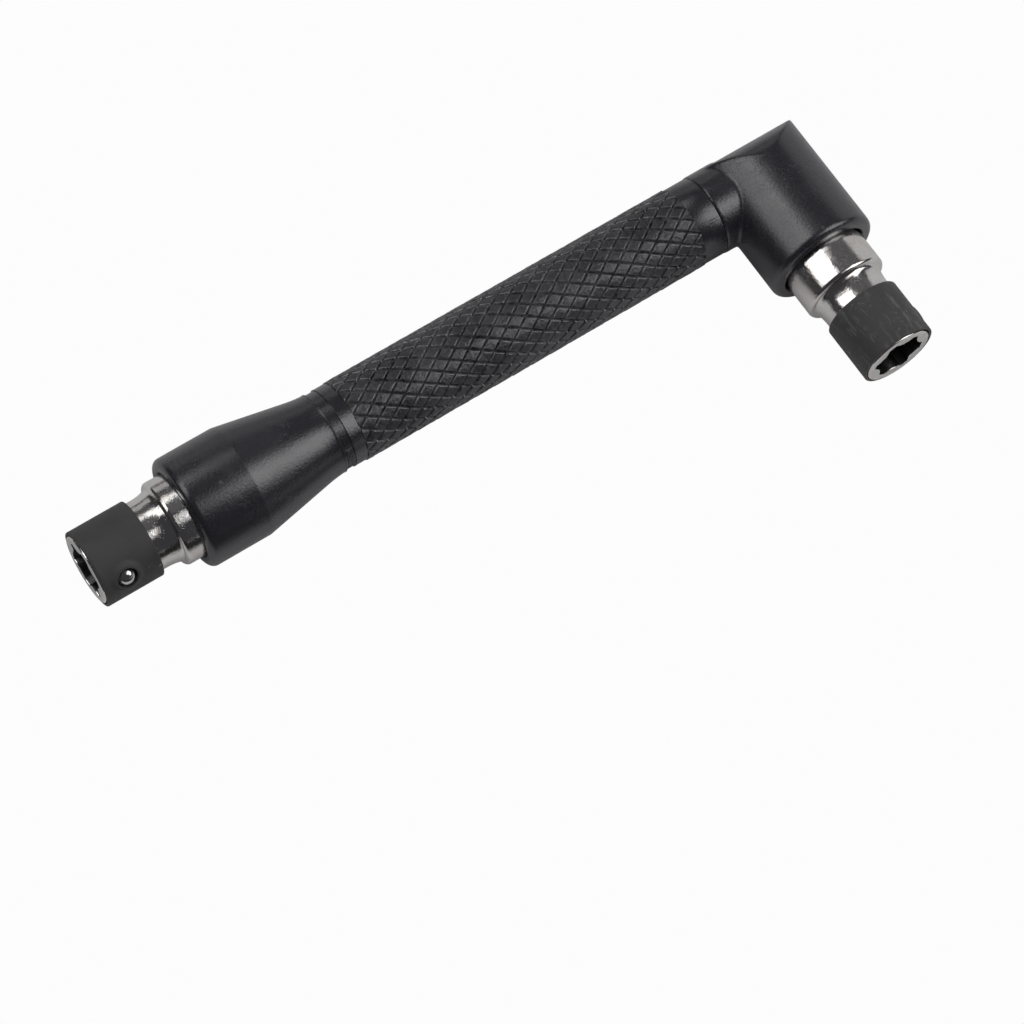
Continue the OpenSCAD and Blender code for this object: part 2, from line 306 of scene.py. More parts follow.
class NodeSheet:
    """Adds nodes to a tree and joins them."""

    def __init__(self, tree: bpy.types.NodeTree) -> None:
        """Start on an empty tree."""
        self.tree = tree
        tree.nodes.clear()

    def feed(self, target: Wire, value: Any) -> None:
        """Feed an input socket.

        Args:
            target: The input socket.
            value: An output socket to link it to, or the value that it gets.
        """
        if isinstance(value, Wire):
            self.tree.links.new(value, target)
        else:
            target.default_value = value

    def add(self, kind: str, **values: Any) -> Node:
        """Add a node.

        Args:
            kind: Its type name, without the ShaderNode in front.
            values: Attributes of the node, or input sockets, whose names are
                written with underscores. A socket is linked and a value is set.

        Returns:
            The new node.
        """
        node = self.tree.nodes.new("ShaderNode" + kind)
        for key, value in values.items():
            socket = node.inputs.get(key.replace("_", " "))
            if socket is None:
                setattr(node, key, value)
            else:
                self.feed(socket, value)
        return node

    def calc(self, operation: str, *values: Any) -> Wire:
        """Work out a value.

        Args:
            operation: A Math node's operation.
            values: Its values or sockets.

        Returns:
            The socket that gives the result.
        """
        node = self.add("Math", operation=operation)
        for socket, value in zip(node.inputs, values):
            self.feed(socket, value)
        return node.outputs[0]

    def stretch(self, value: Wire, source: Span, target: Span = WHOLE) -> Wire:
        """Map one range smoothly onto another.

        Args:
            value: The socket whose value is mapped.
            source: Ends of its range.
            target: What those ends become.

        Returns:
            The socket that gives the result.
        """
        node = self.add(
            "MapRange", interpolation_type="SMOOTHSTEP", Value=value,
            From_Min=source[0], From_Max=source[1], To_Min=target[0], To_Max=target[1],
        )
        return node.outputs["Result"]

    def tint(self, share: Wire, first: Any, second: Any) -> Wire:
        """Mix two colours.

        Args:
            share: The socket that gives the second colour's share.
            first: The first colour, or its socket.
            second: The second colour, or its socket.

        Returns:
            The socket that gives the mixed colour.
        """
        node = self.add("Mix", data_type="RGBA")
        self.feed(node.inputs[0], share)
        for socket, value in ((node.inputs[6], first), (node.inputs[7], second)):
            self.feed(socket, value if isinstance(value, Wire) else (*value, 1.0))
        return node.outputs[2]


class Group(Enum):
    """The shared node groups."""

    GRAIN = "moulded_grain"
    SCUFFS = "hairline_scuffs"
    SPECKS = "dust_specks"


def new_group(
    kind: Group, inputs: dict[str, Optional[float]], outputs: Sequence[str]
) -> tuple[NodeSheet, Any, Any]:
    """Start a shared node group.

    Args:
        kind: Which group.
        inputs: Names of its inputs with their defaults, None for a vector.
        outputs: Names of its outputs, which are all values.

    Returns:
        The sheet, the sockets that the group is given and those that it makes.
    """
    tree = bpy.data.node_groups.new(kind.value, "ShaderNodeTree")
    for name, default in inputs.items():
        socket = tree.interface.new_socket(
            name=name,
            in_out="INPUT",
            socket_type="NodeSocketVector" if default is None else "NodeSocketFloat",
        )
        if default is not None:
            socket.default_value = default
    for name in outputs:
        tree.interface.new_socket(
            name=name, in_out="OUTPUT", socket_type="NodeSocketFloat"
        )
    sheet = NodeSheet(tree)
    given = tree.nodes.new("NodeGroupInput").outputs
    return sheet, given, tree.nodes.new("NodeGroupOutput").inputs


def build_grain(coarser: float = 0.35) -> None:
    """Build the fine grain that a mould leaves, with slow patches of gloss.

    Args:
        coarser: Scale of the mottle as a share of the grain's scale.
    """
    sheet, given, made = new_group(
        Group.GRAIN,
        {"Place": None, "Grain": 9000.0, "Patch": 160.0},
        ["Height", "Mottle", "Patches"],
    )
    fine = sheet.add(
        "TexNoise", Vector=given["Place"], Scale=given["Grain"], Detail=3.0,
        Roughness=0.6,
    )
    slow = sheet.add(
        "TexNoise", Vector=given["Place"], Scale=given["Patch"], Detail=4.0,
        Roughness=0.55, Distortion=0.6,
    )
    coarse = sheet.add(
        "TexNoise", Vector=given["Place"],
        Scale=sheet.calc("MULTIPLY", given["Grain"], coarser), Detail=3.0,
        Roughness=0.65,
    )
    sheet.feed(made["Height"], fine.outputs["Fac"])
    sheet.feed(made["Mottle"], sheet.stretch(coarse.outputs["Fac"], NOISE_SPAN))
    sheet.feed(made["Patches"], sheet.stretch(slow.outputs["Fac"], NOISE_SPAN))


def build_scuffs(line: Span = (0.0, 0.012), rub: Span = (0.0, 0.12)) -> None:
    """Build thin curved scratches that come in patches.

    Args:
        line: Distance from a level of the swirl at which a scratch fades.
        rub: Rise of the patches over their rarity at which scratches come in.
    """
    sheet, given, made = new_group(
        Group.SCUFFS,
        {"Place": None, "Lines": 420.0, "Patch": 110.0, "Rarity": 0.5},
        ["Mask"],
    )
    swirl = sheet.add(
        "TexNoise", Vector=given["Place"], Scale=given["Lines"], Detail=2.0,
        Distortion=1.2,
    )
    patch = sheet.add(
        "TexNoise", Vector=given["Place"], Scale=given["Patch"], Detail=3.0
    )
    level = sheet.calc("SUBTRACT", swirl.outputs["Fac"], 0.5)
    thin = sheet.stretch(sheet.calc("ABSOLUTE", level), line, FALLING)
    over = sheet.calc("SUBTRACT", patch.outputs["Fac"], given["Rarity"])
    sheet.feed(made["Mask"], sheet.calc("MULTIPLY", thin, sheet.stretch(over, rub)))


def build_specks(dot: Span = (0.1, 0.22)) -> None:
    """Build rare small specks of dust and chips.

    Args:
        dot: Distance from a cell's middle at which its speck fades.
    """
    sheet, given, made = new_group(
        Group.SPECKS, {"Place": None, "Cells": 600.0, "Rarity": 0.9}, ["Mask"]
    )
    cells = sheet.add("TexVoronoi", Vector=given["Place"], Scale=given["Cells"])
    split = sheet.add("SeparateColor", Color=cells.outputs["Color"])
    speck = sheet.stretch(cells.outputs["Distance"], dot, FALLING)
    chosen = sheet.calc("GREATER_THAN", split.outputs["Red"], given["Rarity"])
    sheet.feed(made["Mask"], sheet.calc("MULTIPLY", speck, chosen))


@dataclass(frozen=True)
class Finish:
    """A finish: what every material here has in common."""

    name: str

    def start(self) -> tuple[Material, NodeSheet, Node, Wire]:
        """Start the material.

        Returns:
            The material, its sheet, its Principled shader, already joined up, and
            the socket that gives the place on the piece.
        """
        material = bpy.data.materials.new(self.name)
        material.use_nodes = True
        sheet = NodeSheet(material.node_tree)
        shader = sheet.add("BsdfPrincipled")
        sheet.add("OutputMaterial", Surface=shader.outputs["BSDF"])
        return material, sheet, shader, sheet.add("TexCoord").outputs["Object"]

    @staticmethod
    def group(sheet: NodeSheet, kind: Group, spot: Wire, **values: float) -> Any:
        """Place a shared group in a material.

        Args:
            sheet: The material's sheet.
            kind: Which group.
            spot: The socket that gives the place on the piece.
            values: Values of the group's other inputs.

        Returns:
            The group's outputs.
        """
        node = sheet.tree.nodes.new("ShaderNodeGroup")
        node.node_tree = bpy.data.node_groups[kind.value]
        sheet.feed(node.inputs["Place"], spot)
        for name, value in values.items():
            node.inputs[name].default_value = value
        return node.outputs

    @staticmethod
    def relief(sheet: NodeSheet, shader: Node, height: Wire, depth_mm: float) -> None:
        """Let a height that runs from 0 to 1 raise the surface by depth_mm."""
        bump = sheet.add("Bump", Height=height, Strength=1.0, Distance=depth_mm * MM)
        sheet.feed(shader.inputs["Normal"], bump.outputs["Normal"])


def scaled(colour: Colour, factor: float) -> Colour:
    """A lighter or darker version of a colour."""
    return tuple(channel * factor for channel in colour)


@dataclass(frozen=True)
class SatinPlastic(Finish):
    """Black moulded plastic with a satin surface.

    Attributes:
        rough_patch: How far the slow patches change the roughness either way.
        worn_roughness: What wear adds to the roughness.
        gloss: The shader's specular level.
        grain_mm: Depth of the grain.
        grain: Scale of the grain, per metre.
        mottle: How far the mottle darkens and lightens the colour.
        patch_share: Share of the slow patches in the mottle.
        lift: Brightness of the lightest mottle, before mottle is added to it.
        wear: Strength of the scuffs and specks.
    """

    colour: Colour = (0.023, 0.022, 0.029)
    worn_colour: Colour = (0.075, 0.075, 0.08)
    roughness: float = 0.24
    rough_patch: float = 0.03
    worn_roughness: float = 0.15
    gloss: float = 1.0
    grain_mm: float = 0.009
    grain: float = 9000.0
    mottle: float = 0.2
    patch_share: float = 0.4
    lift: float = 1.3
    wear: float = 0.6
    scuff_rarity: float = 0.52
    speck_rarity: float = 0.93

    def build(self) -> Material:
        """Build the material.

        Returns:
            The finished material.
        """
        material, sheet, shader, spot = self.start()
        grain = self.group(sheet, Group.GRAIN, spot, Grain=self.grain)
        scuffs = self.group(sheet, Group.SCUFFS, spot, Rarity=self.scuff_rarity)
        specks = self.group(sheet, Group.SPECKS, spot, Rarity=self.speck_rarity)
        marks = sheet.calc("MAXIMUM", scuffs["Mask"], specks["Mask"])
        wear = sheet.calc("MULTIPLY", marks, self.wear)
        faded = sheet.tint(
            sheet.calc(
                "ADD",
                sheet.calc("MULTIPLY", grain["Patches"], self.patch_share),
                sheet.calc("MULTIPLY", grain["Mottle"], 1.0 - self.patch_share),
            ),
            scaled(self.colour, 1.0 - self.mottle),
            scaled(self.colour, self.lift + self.mottle),
        )
        colour = sheet.tint(wear, faded, self.worn_colour)
        sheet.feed(shader.inputs["Base Color"], colour)
        rough = sheet.stretch(
            grain["Patches"],
            WHOLE,
            (self.roughness - self.rough_patch, self.roughness + self.rough_patch),
        )
        rubbed = sheet.calc("MULTIPLY", marks, self.worn_roughness)
        sheet.feed(shader.inputs["Roughness"], sheet.calc("ADD", rough, rubbed))
        shader.inputs["Specular IOR Level"].default_value = self.gloss
        surface = sheet.calc("ADD", grain["Height"], grain["Mottle"])
        height = sheet.calc("SUBTRACT", surface, wear)
        self.relief(sheet, shader, height, self.grain_mm)
        return material


@dataclass(frozen=True)
class ElasticRubber(Finish):
    """Matte charcoal rubber with pale scuffs.

    Attributes:
        lift: Brightness of the lightest patches.
        rough_patch: What the slow patches add to the roughness.
        grain: Scale of the grain, per metre.
        patch: Scale of the slow patches, per metre.
        grain_mm: Depth of the grain.
        lines: Scale of the scratches, per metre.
        line_patch: Scale of the patches that they come in, per metre.
        smear: Strength of the slanting pale smears.
        smear_shift: Place in their noise.
        smear_slant: Their slant, in radians.
        smear_scale: Their scale along each axis, per metre.
        smear_span: Levels of their noise between which they come in.
    """

    colour: Colour = (0.068, 0.066, 0.068)
    scuff_colour: Colour = (0.3, 0.3, 0.3)
    lift: float = 1.25
    roughness: float = 0.56
    rough_patch: float = 0.1
    grain: float = 12000.0
    patch: float = 240.0
    grain_mm: float = 0.01
    lines: float = 500.0
    line_patch: float = 180.0
    scuff_rarity: float = 0.5
    scuff_share: float = 0.55
    speck_rarity: float = 0.95
    speck_share: float = 0.5
    smear: float = 0.0
    smear_shift: tuple[float, float, float] = (3.0, 7.0, 0.0)
    smear_slant: float = 0.5
    smear_scale: tuple[float, float, float] = (1100.0, 210.0, 500.0)
    smear_span: Span = (0.52, 0.72)

    def build(self) -> Material:
        """Build the material.

        Returns:
            The finished material.
        """
        material, sheet, shader, spot = self.start()
        grain = self.group(sheet, Group.GRAIN, spot, Grain=self.grain, Patch=self.patch)
        slanted = sheet.add(
            "Mapping", Vector=spot, Location=self.smear_shift,
            Rotation=(0.0, 0.0, self.smear_slant), Scale=self.smear_scale,
        )
        rubbed = sheet.add(
            "TexNoise", Vector=slanted.outputs["Vector"], Scale=1.0, Detail=4.0,
            Roughness=0.7,
        )
        smears = sheet.stretch(rubbed.outputs["Fac"], self.smear_span)
        scuffs = self.group(
            sheet, Group.SCUFFS, spot, Lines=self.lines, Patch=self.line_patch,
            Rarity=self.scuff_rarity,
        )
        specks = self.group(sheet, Group.SPECKS, spot, Rarity=self.speck_rarity)
        pale = sheet.calc(
            "MAXIMUM",
            sheet.calc("MULTIPLY", scuffs["Mask"], self.scuff_share),
            sheet.calc("MULTIPLY", specks["Mask"], self.speck_share),
        )
        pale = sheet.calc("MAXIMUM", pale, sheet.calc("MULTIPLY", smears, self.smear))
        light = scaled(self.colour, self.lift)
        faded = sheet.tint(grain["Patches"], self.colour, light)
        colour = sheet.tint(pale, faded, self.scuff_colour)
        sheet.feed(shader.inputs["Base Color"], colour)
        rough = sheet.stretch(
            grain["Patches"], WHOLE, (self.roughness, self.roughness + self.rough_patch)
        )
        sheet.feed(shader.inputs["Roughness"], rough)
        self.relief(sheet, shader, grain["Height"], self.grain_mm)
        return material


@dataclass(frozen=True)
class BrightMetal(Finish):
    """Polished or drawn metal, with faint pitting and streaks.

    Attributes:
        stain_share: Strength of the stains.
        streak: What the slow patches add to the roughness.
        scuff_roughness: What the scratches add to the roughness.
        pit_mm: Depth of the pitting.
        pit_grain: Scale of the pitting, per metre.
        patch: Scale of the stains and slow patches, per metre.
        lines: Scale of the scratches, per metre.
        line_patch: Scale of the patches that they come in, per metre.
        dot_cells: Scale of the raised dots, per metre.
    """

    colour: Colour = (0.79, 0.78, 0.77)
    stain_colour: Colour = (0.6, 0.52, 0.46)
    stain_share: float = 0.45
    roughness: float = 0.07
    streak: float = 0.06
    scuff_roughness: float = 0.2
    pit_mm: float = 0.008
    pit_grain: float = 5200.0
    patch: float = 380.0
    lines: float = 900.0
    line_patch: float = 260.0
    scuff_rarity: float = 0.47
    dot_cells: float = 3600.0
    dot_rarity: float = 0.6

    def build(self) -> Material:
        """Build the material.

        Returns:
            The finished material.
        """
        material, sheet, shader, spot = self.start()
        shader.inputs["Metallic"].default_value = 1.0
        grain = self.group(
            sheet, Group.GRAIN, spot, Grain=self.pit_grain, Patch=self.patch
        )
        scuffs = self.group(
            sheet, Group.SCUFFS, spot, Lines=self.lines, Patch=self.line_patch,
            Rarity=self.scuff_rarity,
        )
        stains = sheet.calc("MULTIPLY", grain["Patches"], self.stain_share)
        colour = sheet.tint(stains, self.colour, self.stain_colour)
        sheet.feed(shader.inputs["Base Color"], colour)
        rough = sheet.stretch(
            grain["Patches"], WHOLE, (self.roughness, self.roughness + self.streak)
        )
        rubbed = sheet.calc("MULTIPLY", scuffs["Mask"], self.scuff_roughness)
        sheet.feed(shader.inputs["Roughness"], sheet.calc("ADD", rough, rubbed))
        dots = self.group(
            sheet, Group.SPECKS, spot, Cells=self.dot_cells, Rarity=self.dot_rarity
        )
        height = sheet.calc("ADD", grain["Height"], grain["Mottle"])
        height = sheet.calc("ADD", height, dots["Mask"])
        self.relief(sheet, shader, height, self.pit_mm)
        return material


# ---------------------------------------------------------------- sub-assemblies


class Arm(Enum):
    """The two arms of the driver."""

    STRAIGHT = "straight"
    ANGLE = "angle"


@dataclass
class Handle:
    """Stations and sizes that several pieces share.

    Attributes:
        long_arm: Length of the long arm to the short arm's axis.
        short_arm: Length of the short arm from the long arm's axis.
        straight_clock: Where the straight socket's ball is round it, in degrees.
        angle_clock: Where the angle socket's ball is round it, in degrees.
        straight_reach: How far the straight socket stands out of the bell.
        head_drop: Distance of the head's mouth from the long arm's axis.
    """

    long_arm: float = 108.9
    short_arm: float = 32.0
    straight_clock: float = 151.0
    angle_clock: float = -8.0
    straight_reach: float = 14.7
    head_drop: float = 14.6
    grip_start: float = 37.05
    elbow_start: float = 98.8
    socket_len: float = 23.5
    ball_setback: float = 3.65
    window_r: float = 1.46
    bar_r: float = 3.75
    mouth_round: float = 1.0
    ring_r: float = 6.48
    ring_depth: float = 0.6
    ring_edge: float = 0.12
    bore_r: float = 6.18
    bore_edge: float = 0.1
    burr: float = 0.06

    def mouth(self, arm: Arm) -> Matrix:
        """Frame of a socket's mouth.

        Args:
            arm: The socket's arm.

        Returns:
            The frame, whose +Z goes in and whose +X points to the ball.
        """
        if arm is Arm.STRAIGHT:
            return ALONG_ARM @ rotation(90.0 + self.straight_clock, "Z")
        return self.down_arm(self.short_arm) @ rotation(-self.angle_clock, "Z")

    def down_arm(self, drop: float) -> Matrix:
        """Frame on the short arm's axis, whose +Z points back to the long arm."""
        spot = Matrix.Translation((self.long_arm, -drop, 0.0))
        return spot @ rotation(-90.0, "X")

    def lip(self, outer_r: float, depth: float) -> list[Corner]:
        """Outline of a plastic mouth, from the bore over the ring to the rim.

        Args:
            outer_r: Radius of the rim.
            depth: How far the bore goes in.

        Returns:
            The corners, from the bottom of the bore outwards.
        """
        return [
            Corner(depth, self.bore_r),
            Corner(self.ring_depth, self.bore_r, self.bore_edge, 2),
            Corner(0.0, self.ring_r, self.ring_edge, 3),
            Corner(0.0, outer_r, self.mouth_round, 8),
        ]


@dataclass
class MouthPiece:
    """A piece that sits round the axis of one arm's socket."""

    handle: Handle
    arm: Arm

    def ball_tool(self, outline: Sequence[Corner], around: int) -> BMesh:
        """Cutting tool that is turned round the ball's line, out along +X."""
        spot = Matrix.Translation((0.0, 0.0, self.handle.ball_setback))
        return transformed(turned(outline, around), spot @ ALONG_ARM)

    def put(
        self, kind: str, bm: BMesh, material: Material, slot: str, node: str,
        body: str = HANDLE,
    ) -> Piece:
        """Place the piece at its mouth.

        Args:
            kind: Its name without the arm's.
            bm: Its mesh. It is freed.
            material: Its finish.
            slot: Name of a material slot; not used.
            node: The CAD node that it stands for, without the arm's name.
            body: CAD body that it rides on.

        Returns:
            The finished object.
        """
        arm = self.arm.value
        matrix = self.handle.mouth(self.arm)
        return place(
            f"{arm}_{kind}", bm, matrix, material, [f"{arm}_{node}"], body=body
        )


@dataclass
class Socket(MouthPiece):
    """A bright bit socket: slim tube, hollow flare, stout shank, notched hex hole.

    Attributes:
        hole_af: Distance between the hole's six lands.
        land_r: Radius of a land's round crest.
        notch_r: Radius of the notches.
        seat_r: Radius of the narrow end of the ball's seat.
        seat_step: Depth under the tube's outside where the seat begins.
        tool_in: How far the window's tool starts inside the notches.
        tool_out: How far it ends outside the tube.
        slack: How far inside the walls a face still counts as wall.
    """

    tube_r: float = 5.0
    tube_len: float = 9.5
    flare_len: float = 2.5
    flare_steps: int = 12
    shoulder: float = 0.6
    shank_r: float = 6.15
    edge: float = 0.22
    face_w: float = 0.4
    hole_af: float = 6.4
    land_r: float = 2.2
    notch_r: float = 3.95
    hole_depth: float = 12.5
    hole_edge: float = 0.12
    seat_r: float = 1.14
    seat_step: float = 0.63
    tool_in: float = 1.0
    tool_out: float = 2.0
    slack: float = 0.02
    floor_slack: float = 0.1
    around: int = 168
    window_around: int = 64

    def outline(self) -> list[Corner]:
        """Outline of the outside.

        Returns:
            The corners, from the mouth's face to the tail.
        """
        rim_r = self.shank_r - self.shoulder
        quarter = math.pi / 2.0
        turns = [quarter * step / self.flare_steps for step in range(self.flare_steps)]
        flare = [
            Corner(
                self.tube_len + self.flare_len * math.sin(turn),
                self.tube_r + (rim_r - self.tube_r) * (1.0 - math.cos(turn)),
            )
            for turn in turns
        ]
        length = self.handle.socket_len
        return [
            Corner(0.0, self.notch_r + self.face_w),
            Corner(0.0, self.tube_r, self.edge, 4),
            *flare,
            Corner(self.tube_len + self.flare_len, self.shank_r, self.shoulder, 8),
            Corner(length, self.shank_r, self.edge, 2),
            Corner(length, 0.0),
        ]

    def hole_radius(self, angle: float) -> float:
        """Radius of the hole in one direction.

        Args:
            angle: The direction, in radians.

        Returns:
            Distance from the axis to the hole's wall.
        """
        land = self.hole_af / 2.0 + self.land_r
        sixth = math.tau / 6.0
        off = (angle % sixth) - sixth / 2.0
        side = land * math.sin(off)
        if abs(side) >= self.land_r:
            return self.notch_r
        near = land * math.cos(off) - math.sqrt(self.land_r**2 - side**2)
        return min(self.notch_r, near)

    def hole(self, bm: BMesh) -> None:
        """Sink the notched hole into the open face.

        Args:
            bm: The socket's turned mesh.
        """
        face = bmesh.ops.extrude_edge_only(bm, edges=open_edges(bm))["geom"]
        for vert in verts_of(face):
            angle = math.atan2(vert.co.y, vert.co.x)
            radius = self.hole_radius(angle)
            vert.co = (radius * math.cos(angle), radius * math.sin(angle), 0.0)
        lip = open_edges(bm)
        wall = bmesh.ops.extrude_edge_only(bm, edges=lip)["geom"]
        bmesh.ops.translate(bm, vec=(0.0, 0.0, self.hole_depth), verts=verts_of(wall))
        bmesh.ops.contextual_create(bm, geom=open_edges(bm))
        rounded(bm, lip, self.hole_edge, 3)
        bmesh.ops.recalc_face_normals(bm, faces=bm.faces)

    def window(self) -> BMesh:
        """Make the tool that cuts the ball's seat and window.

        Returns:
            The tool, out along +X.
        """
        start, end = self.notch_r - self.tool_in, self.tube_r + self.tool_out
        wide = self.handle.window_r
        outline = [
            Corner(start, 0.0),
            Corner(start, self.seat_r),
            Corner(self.notch_r, self.seat_r),
            Corner(self.tube_r - self.seat_step, wide),
            Corner(end, wide),
            Corner(end, 0.0),
        ]
        return self.ball_tool(outline, self.window_around)

    def build(self, material: Material, inside: Material) -> Piece:
        """Build the socket.

        Args:
            material: Finish of the outside and of the end ring.
            inside: Finish of the hole's walls.

        Returns:
            The socket.
        """
        bm = turned(self.outline(), self.around)
        self.hole(bm)
        bm = combined(bm, self.window(), "DIFFERENCE")
        top = self.hole_edge + self.slack
        for face in bm.faces:
            centre = face.calc_center_median()
            within = math.hypot(centre.x, centre.y) < self.notch_r + self.slack
            deep = top < centre.z < self.hole_depth + self.floor_slack
            face.material_index = int(within and deep)
        piece = self.put("bit_socket", bm, material, "socket_chrome", "socket")
        piece.data.materials.append(inside)
        return piece


@dataclass
class Sleeve(MouthPiece):
    """An elastic sleeve that swells round its ball.

    Attributes:
        pull: How far the ball pulls the sleeve to its side.
        swell: Height of the swelling round the ball.
        swell_foot: Distance from the ball's line where the swelling begins.
        swell_top: Distance from the ball's line where it is at its height.
        flare: The window's edge, as rise over the swelling and added radius.
    """

    outer_r: float = 5.575
    bore_r: float = 5.15
    start: float = 0.2
    length: float = 8.5
    edge: float = 0.15
    inner_edge: float = 0.04
    pull: float = 0.08
    swell: float = 0.3
    swell_foot: float = 2.45
    swell_top: float = 1.62
    flare: tuple[Span, ...] = ((-0.14, 0.0), (-0.04, 0.04), (0.02, 0.13), (1.0, 0.6))
    around: int = 200
    window_around: int = 72
    row: float = 0.22

    def swell_at(self, co: Vector) -> float:
        """Height of the swelling at a point.

        Args:
            co: The point.

        Returns:
            How far the sleeve's outside is raised there.
        """
        if co.x <= 0.0:
            return 0.0
        away = math.hypot(co.y, co.z - self.handle.ball_setback)
        share = (self.swell_foot - away) / (self.swell_foot - self.swell_top)
        share = min(1.0, max(0.0, share))
        return self.swell * share * share * (3.0 - 2.0 * share)

    def window(self) -> BMesh:
        """Make the tool that cuts the window, flared at the outside.

        Returns:
            The tool, out along +X.
        """
        top = self.outer_r + self.pull + self.swell
        wide = self.handle.window_r
        outline = [
            Corner(0.0, 0.0),
            Corner(0.0, wide),
            *(Corner(top + rise, wide + added) for rise, added in self.flare),
            Corner(top + self.flare[-1][0], 0.0),
        ]
        return self.ball_tool(outline, self.window_around)

    def build(self, material: Material) -> Piece:
        """Build the sleeve.

        Args:
            material: Its finish.

        Returns:
            The sleeve.
        """
        end = self.start + self.length
        outline = [
            Corner(self.start, self.bore_r, self.inner_edge, 1),
            Corner(self.start, self.outer_r, self.edge, 4),
            Corner(end, self.outer_r, self.edge, 4),
            Corner(end, self.bore_r, self.inner_edge, 1),
        ]
        bm = turned(outline, self.around, closed=True, row=self.row)
        middle = (self.outer_r + self.bore_r) / 2.0
        for vert in bm.verts:
            if math.hypot(vert.co.x, vert.co.y) > middle:
                vert.co += outwards(vert) * self.swell_at(vert.co)
        bmesh.ops.translate(bm, vec=(self.pull, 0.0, 0.0), verts=bm.verts)
        bm = combined(bm, self.window(), "DIFFERENCE")
        return self.put("rubber_sleeve", bm, material, "sleeve_rubber", "sleeve")


@dataclass
class DetentBall(MouthPiece):
    """The small steel ball that holds a bit."""

    radius: float = 1.4
    rest_r: float = 4.85
    subdivisions: int = 5

    def build(self, material: Material) -> Piece:
        """Build the ball.

        Args:
            material: Its finish.

        Returns:
            The ball.
        """
        bm = bmesh.new()
        bmesh.ops.create_icosphere(
            bm, subdivisions=self.subdivisions, radius=self.radius
        )
        spot = (self.rest_r, 0.0, self.handle.ball_setback)
        bmesh.ops.translate(bm, vec=spot, verts=bm.verts)
        body = f"{self.arm.value}_detent"
        return self.put("steel_ball", bm, material, "ball_steel", "ball", body)


@dataclass
class EndBell:
    """The plastic bell that widens round the straight socket.

    Attributes:
        land_r: Radius of the narrow land at the grip.
        land_foot: Distance from the land's end where its burr begins.
        land_drop: How far the land's end face starts under the land.
    """

    handle: Handle
    outer_r: float = 8.1
    front_len: float = 9.15
    front_edge: float = 0.1
    cone_len: float = 12.0
    cone_ease: float = 1.6
    land_r: float = 5.85
    land_foot: float = 0.24
    land_drop: float = 0.05
    spigot_r: float = 4.65
    spigot_len: float = 6.5
    around: int = 168

    def build(self, material: Material) -> Piece:
        """Build the bell.

        Args:
            material: Its finish.

        Returns:
            The bell.
        """
        shared = self.handle
        burr = shared.burr
        length = shared.grip_start - shared.straight_reach
        seat = shared.socket_len - shared.straight_reach
        outline = [
            *shared.lip(self.outer_r, seat),
            Corner(self.front_len, self.outer_r, self.front_edge, 2),
            Corner(self.front_len + self.cone_len, self.land_r, self.cone_ease, 8),
            Corner(length - self.land_foot, self.land_r),
            Corner(length - burr, self.land_r + burr, burr, 3),
            Corner(length, self.land_r - self.land_drop),
            Corner(length, self.spigot_r),
            Corner(length - self.spigot_len, self.spigot_r),
            Corner(length - self.spigot_len, shared.bar_r),
            Corner(seat, shared.bar_r),
        ]
        bm = turned(outline, self.around, closed=True)
        matrix = Matrix.Translation((shared.straight_reach, 0.0, 0.0)) @ ALONG_ARM
        return place(
            "bell_shell", bm, matrix, material, ["end_bell"]
        )


